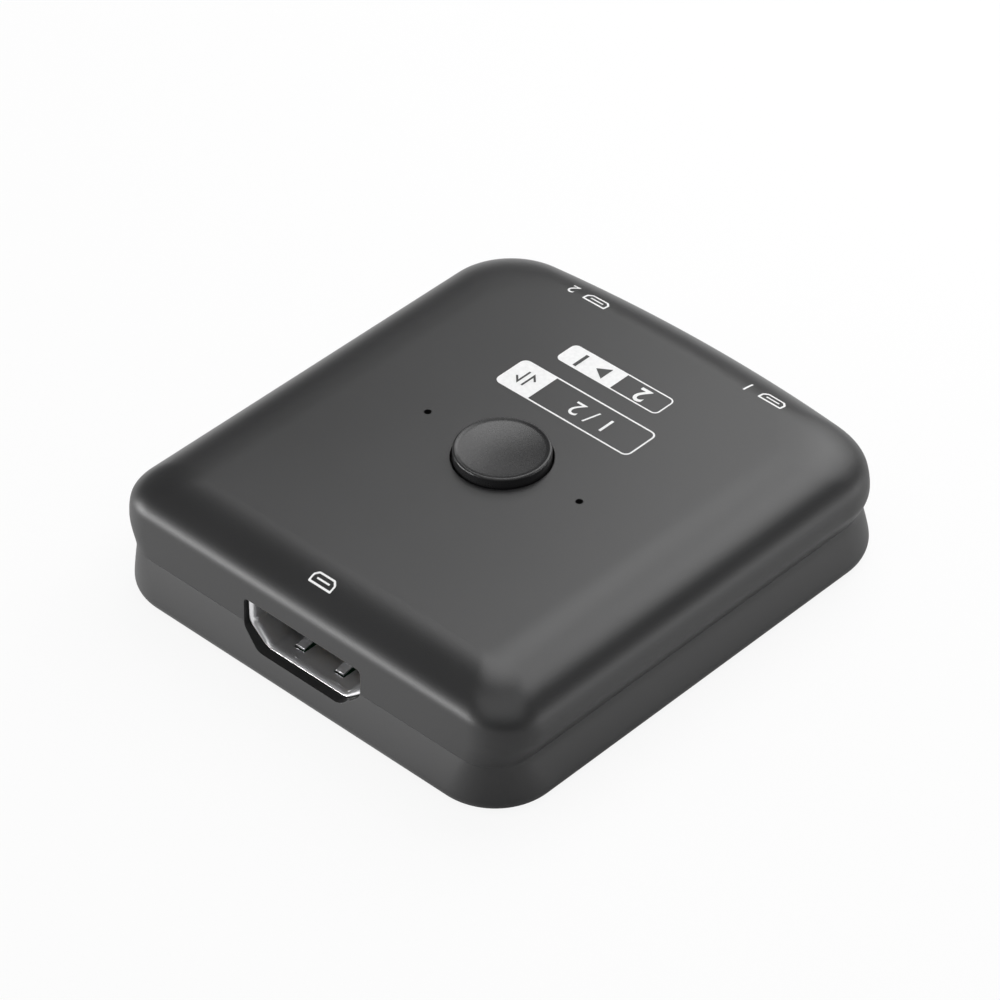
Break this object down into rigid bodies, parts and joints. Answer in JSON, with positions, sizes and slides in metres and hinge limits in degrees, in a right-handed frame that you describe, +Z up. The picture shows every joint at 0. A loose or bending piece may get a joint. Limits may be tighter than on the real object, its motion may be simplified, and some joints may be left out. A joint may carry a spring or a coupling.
{
  "type": "video switch",
  "caption": "Small flat box with a crowned top, a socket in one side, sockets in the bowed side and a round push button that picks between them.",
  "frame": {"origin": "centre of the base's outline, on the surface it stands on", "axes": "+Z up, +Y towards the side with the single socket, +X to the right when that side is farthest away"},
  "size_m": [0.0524, 0.0584, 0.0146],
  "materials": {
    "housing": "fine satin, black",
    "button": "satin, black",
    "board": "solder mask",
    "screw_steel": "zinc plated",
    "port_metal": "nickel plated",
    "insulator_black": "moulded",
    "contact_gold": "gold plated",
    "switch_plastic": "moulded",
    "spring_steel": "bright",
    "led_white": "clear resin",
    "chip_black": "moulded",
    "tin": "tinned",
    "print_white": "printed ink",
    "ceramic_tan": "ceramic"
  },
  "bodies": {
    "housing": {"top_cover": "housing", "bottom_cover": "housing", "circuit_board": "board", "board_screws": "screw_steel", "port_shell_output": "port_metal", "port_insulator_output": "insulator_black", "port_contacts_output": "contact_gold", "port_shell_input_1": "port_metal", "port_insulator_input_1": "insulator_black", "port_contacts_input_1": "contact_gold", "port_shell_input_2": "port_metal", "port_insulator_input_2": "insulator_black", "port_contacts_input_2": "contact_gold", "switch_base": "switch_plastic", "switch_plate": "spring_steel", "switch_dome": "spring_steel", "switch_terminals": "spring_steel", "led_1": "led_white", "led_2": "led_white", "switch_chip": "chip_black", "switch_chip_pads": "tin", "regulator": "chip_black", "regulator_leads": "tin", "capacitors": "ceramic_tan", "resistors": "chip_black", "surge_arrays": "chip_black"},
    "button": {"button_cap": "button"},
    "plunger": {"switch_plunger": "switch_plastic"}
  },
  "joints": [
    {"name": "button_press", "type": "slide", "parent": "housing", "child": "button", "axis": [0, 0, -1], "range_m": [0, 0.0003], "stiffness_N_per_m": 3000},
    {"name": "plunger_press", "type": "slide", "parent": "housing", "child": "plunger", "axis": [0, 0, -1], "range_m": [0, 0.0003], "deforming": ["switch_dome"]}
  ],
  "couplings": [
    {"joint": "plunger_press", "follows": "button_press", "ratio": 1}
  ]
}
